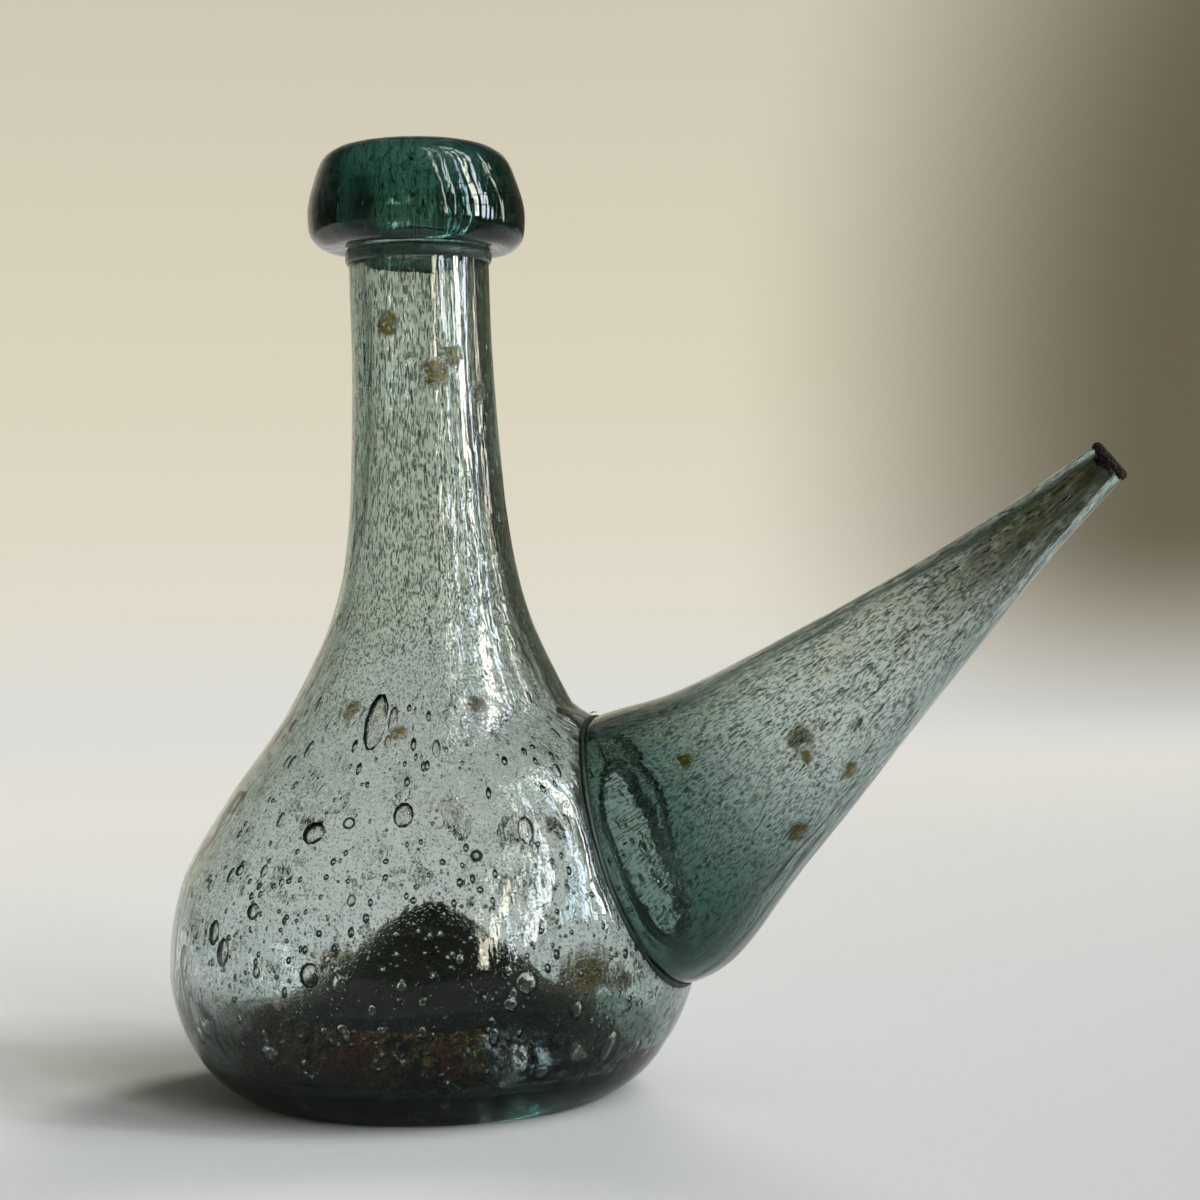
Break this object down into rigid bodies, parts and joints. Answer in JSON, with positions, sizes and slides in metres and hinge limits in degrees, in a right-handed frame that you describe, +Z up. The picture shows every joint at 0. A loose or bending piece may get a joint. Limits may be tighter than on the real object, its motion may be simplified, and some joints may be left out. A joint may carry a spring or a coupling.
{
  "type": "spouted glass flask",
  "caption": "Free-blown glass flask with a squat belly, long neck, heavy rolled collar, pushed-up base and a tapering pouring spout welded to the shoulder.",
  "frame": {"origin": "centre of the ring that the flask stands on, at the height of the floor", "axes": "+Z up along the neck, out of the mouth; +X towards the spout; +Y across the belly"},
  "size_m": [0.2324, 0.127, 0.231],
  "materials": {
    "body_glass": "hand-blown grey-green glass, full of seeds and bubbles",
    "collar_glass": "thick teal glass, fire-polished",
    "spout_glass": "hand-drawn grey-green glass with stretched seeds",
    "weld_glass": "dark fused glass with dirt in the crease",
    "scar_glass": "rough broken glass",
    "residue": "matt dried brown residue",
    "crust": "matt dark crust"
  },
  "bodies": {
    "root": {"flask_body": "body_glass", "collar": "collar_glass", "neck_wrap": "collar_glass", "spout": "spout_glass", "spout_weld": "weld_glass", "port_lip": "spout_glass", "pontil_scar": "scar_glass", "base_residue": "residue", "tip_crust": "crust"}
  },
  "joints": []
}
